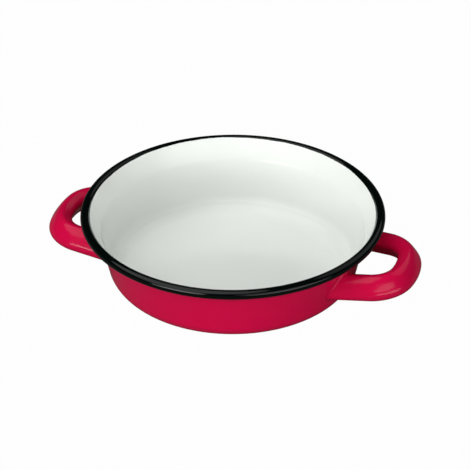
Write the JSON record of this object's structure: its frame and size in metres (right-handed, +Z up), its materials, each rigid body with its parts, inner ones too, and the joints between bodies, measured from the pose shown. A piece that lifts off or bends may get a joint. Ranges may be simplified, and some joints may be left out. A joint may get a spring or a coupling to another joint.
{
  "type": "egg dish",
  "caption": "Round shallow enamelled steel egg dish with a flat base, a rolled rim and a hollow loop handle on each side.",
  "frame": {"origin": "centre of the flat base, on the surface the dish stands on", "axes": "+Z up along the dish's axis, +X and -X through the middles of the two handles"},
  "size_m": [0.2274, 0.18, 0.0435],
  "materials": {
    "dish_enamel": "glossy vitreous enamel on steel: crimson outside, white inside, black on the rolled rim",
    "handle_enamel": "glossy crimson vitreous enamel on steel"
  },
  "bodies": {
    "root": {"dish": "dish_enamel", "handle_right": "handle_enamel", "handle_left": "handle_enamel"}
  },
  "joints": []
}
